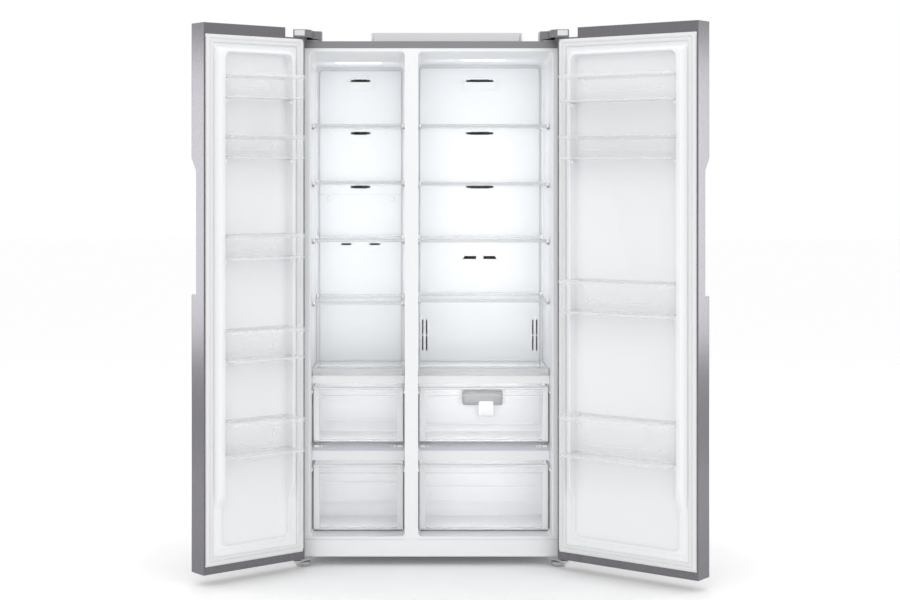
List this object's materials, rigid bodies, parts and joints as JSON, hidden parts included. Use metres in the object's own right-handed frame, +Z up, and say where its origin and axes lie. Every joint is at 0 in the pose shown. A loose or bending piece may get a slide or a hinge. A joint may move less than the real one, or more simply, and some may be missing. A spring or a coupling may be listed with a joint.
{
  "type": "side by side refrigerator",
  "caption": "Side by side refrigerator with both doors standing open, shelves, clear drawers, door bins, hinges, feet and cooling parts.",
  "frame": {"origin": "centre of the whole footprint with the doors open as drawn, on the floor", "axes": "+Z up, +Y to the back of the cabinet, +X to the right of a person who stands in front"},
  "size_m": [1.641, 1.024, 1.788],
  "materials": {
    "door_steel": "satin",
    "case_paint": "satin",
    "zinc_steel": "satin",
    "white_plastic": "gloss",
    "grey_plastic": "satin",
    "black_plastic": "matte",
    "compressor_steel": "satin",
    "copper_tube": "satin",
    "coil_aluminium": "satin",
    "lamp_plastic": "satin",
    "shelf_glass": "gloss",
    "clear_plastic": "gloss",
    "seal_rubber": "matte"
  },
  "bodies": {
    "cabinet": {"outer_case": "case_paint", "rear_panel": "zinc_steel", "base_pan": "zinc_steel", "machine_cover": "zinc_steel", "top_hinge_left": "zinc_steel", "top_hinge_right": "zinc_steel", "bottom_hinge_left": "zinc_steel", "bottom_hinge_right": "zinc_steel", "kick_trim": "white_plastic", "mullion_trim": "white_plastic", "freezer_liner": "white_plastic", "fridge_liner": "white_plastic", "freezer_back_cover": "white_plastic", "fridge_back_cover": "white_plastic", "freezer_drawer_divider": "white_plastic", "fridge_drawer_divider": "white_plastic", "top_cover": "grey_plastic", "hinge_cover_left": "grey_plastic", "hinge_cover_right": "grey_plastic", "compressor": "compressor_steel", "condenser": "copper_tube", "freezer_evaporator": "coil_aluminium", "fridge_evaporator": "coil_aluminium", "freezer_lamp": "lamp_plastic", "fridge_lamp": "lamp_plastic", "freezer_shelf_1": "shelf_glass", "freezer_shelf_2": "shelf_glass", "freezer_shelf_3": "shelf_glass", "freezer_shelf_4": "shelf_glass", "freezer_drawer_cover": "shelf_glass", "fridge_shelf_1": "shelf_glass", "fridge_shelf_2": "shelf_glass", "fridge_shelf_3": "shelf_glass", "fridge_shelf_4": "shelf_glass", "fridge_drawer_cover": "shelf_glass"},
    "freezer_door": {"freezer_door_skin": "door_steel", "freezer_door_liner": "white_plastic", "freezer_door_seal": "seal_rubber"},
    "freezer_bin_1": {"freezer_bin_1": "clear_plastic"},
    "freezer_bin_2": {"freezer_bin_2": "clear_plastic"},
    "freezer_bin_3": {"freezer_bin_3": "clear_plastic"},
    "freezer_bin_4": {"freezer_bin_4": "clear_plastic"},
    "freezer_bin_5": {"freezer_bin_5": "clear_plastic"},
    "freezer_drawer_upper": {"freezer_drawer_upper": "clear_plastic"},
    "freezer_drawer_lower": {"freezer_drawer_lower": "clear_plastic"},
    "freezer_fan": {"freezer_fan": "black_plastic"},
    "fridge_door": {"fridge_door_skin": "door_steel", "fridge_door_liner": "white_plastic", "fridge_door_seal": "seal_rubber"},
    "fridge_bin_1": {"fridge_bin_1": "clear_plastic"},
    "fridge_bin_2": {"fridge_bin_2": "clear_plastic"},
    "fridge_bin_3": {"fridge_bin_3": "clear_plastic"},
    "fridge_bin_4": {"fridge_bin_4": "clear_plastic"},
    "fridge_drawer_upper": {"fridge_drawer_upper": "clear_plastic"},
    "fridge_drawer_lower": {"fridge_drawer_lower": "clear_plastic"},
    "fridge_fan": {"fridge_fan": "black_plastic"},
    "foot_left": {"foot_left": "grey_plastic"},
    "roller_left": {"roller_left": "black_plastic"},
    "foot_right": {"foot_right": "grey_plastic"},
    "roller_right": {"roller_right": "black_plastic"}
  },
  "joints": [
    {"name": "freezer_door_hinge", "type": "hinge", "parent": "cabinet", "child": "freezer_door", "pos_m": [-0.49864, -0.14405, 0.9], "axis": [0, 0, -1], "range_deg": [-141.3, 3.5]},
    {"name": "fridge_door_hinge", "type": "hinge", "parent": "cabinet", "child": "fridge_door", "pos_m": [0.39336, -0.14405, 0.9], "axis": [0, 0, 1], "range_deg": [-142.4, 2.5]},
    {"name": "freezer_drawer_upper_slide", "type": "slide", "parent": "cabinet", "child": "freezer_drawer_upper", "axis": [0, -1, 0], "range_m": [0, 0.25]},
    {"name": "freezer_drawer_lower_slide", "type": "slide", "parent": "cabinet", "child": "freezer_drawer_lower", "axis": [0, -1, 0], "range_m": [0, 0.25]},
    {"name": "freezer_bin_1_lift", "type": "slide", "parent": "freezer_door", "child": "freezer_bin_1", "axis": [0, 0, 1], "range_m": [0, 0.03]},
    {"name": "freezer_bin_2_lift", "type": "slide", "parent": "freezer_door", "child": "freezer_bin_2", "axis": [0, 0, 1], "range_m": [0, 0.03]},
    {"name": "freezer_bin_3_lift", "type": "slide", "parent": "freezer_door", "child": "freezer_bin_3", "axis": [0, 0, 1], "range_m": [0, 0.03]},
    {"name": "freezer_bin_4_lift", "type": "slide", "parent": "freezer_door", "child": "freezer_bin_4", "axis": [0, 0, 1], "range_m": [0, 0.03]},
    {"name": "freezer_bin_5_lift", "type": "slide", "parent": "freezer_door", "child": "freezer_bin_5", "axis": [0, 0, 1], "range_m": [0, 0.03]},
    {"name": "freezer_fan_spin", "type": "hinge", "parent": "cabinet", "child": "freezer_fan", "pos_m": [-0.29714, 0.36495, 0.66], "axis": [0, 1, 0], "continuous": true},
    {"name": "fridge_drawer_upper_slide", "type": "slide", "parent": "cabinet", "child": "fridge_drawer_upper", "axis": [0, -1, 0], "range_m": [0, 0.25]},
    {"name": "fridge_drawer_lower_slide", "type": "slide", "parent": "cabinet", "child": "fridge_drawer_lower", "axis": [0, -1, 0], "range_m": [0, 0.25]},
    {"name": "fridge_bin_1_lift", "type": "slide", "parent": "fridge_door", "child": "fridge_bin_1", "axis": [0, 0, 1], "range_m": [0, 0.03]},
    {"name": "fridge_bin_2_lift", "type": "slide", "parent": "fridge_door", "child": "fridge_bin_2", "axis": [0, 0, 1], "range_m": [0, 0.03]},
    {"name": "fridge_bin_3_lift", "type": "slide", "parent": "fridge_door", "child": "fridge_bin_3", "axis": [0, 0, 1], "range_m": [0, 0.03]},
    {"name": "fridge_bin_4_lift", "type": "slide", "parent": "fridge_door", "child": "fridge_bin_4", "axis": [0, 0, 1], "range_m": [0, 0.03]},
    {"name": "fridge_fan_spin", "type": "hinge", "parent": "cabinet", "child": "fridge_fan", "pos_m": [0.12936, 0.36495, 0.66], "axis": [0, 1, 0], "continuous": true},
    {"name": "foot_left_thread", "type": "hinge", "parent": "cabinet", "child": "foot_left", "pos_m": [-0.47964, -0.09005, 0.01], "axis": [0, 0, 1], "continuous": true},
    {"name": "roller_left_spin", "type": "hinge", "parent": "cabinet", "child": "roller_left", "pos_m": [-0.45264, 0.45795, 0.015], "axis": [1, 0, 0], "continuous": true},
    {"name": "foot_right_thread", "type": "hinge", "parent": "cabinet", "child": "foot_right", "pos_m": [0.37436, -0.09005, 0.01], "axis": [0, 0, 1], "continuous": true},
    {"name": "roller_right_spin", "type": "hinge", "parent": "cabinet", "child": "roller_right", "pos_m": [0.34736, 0.45795, 0.015], "axis": [1, 0, 0], "continuous": true}
  ]
}
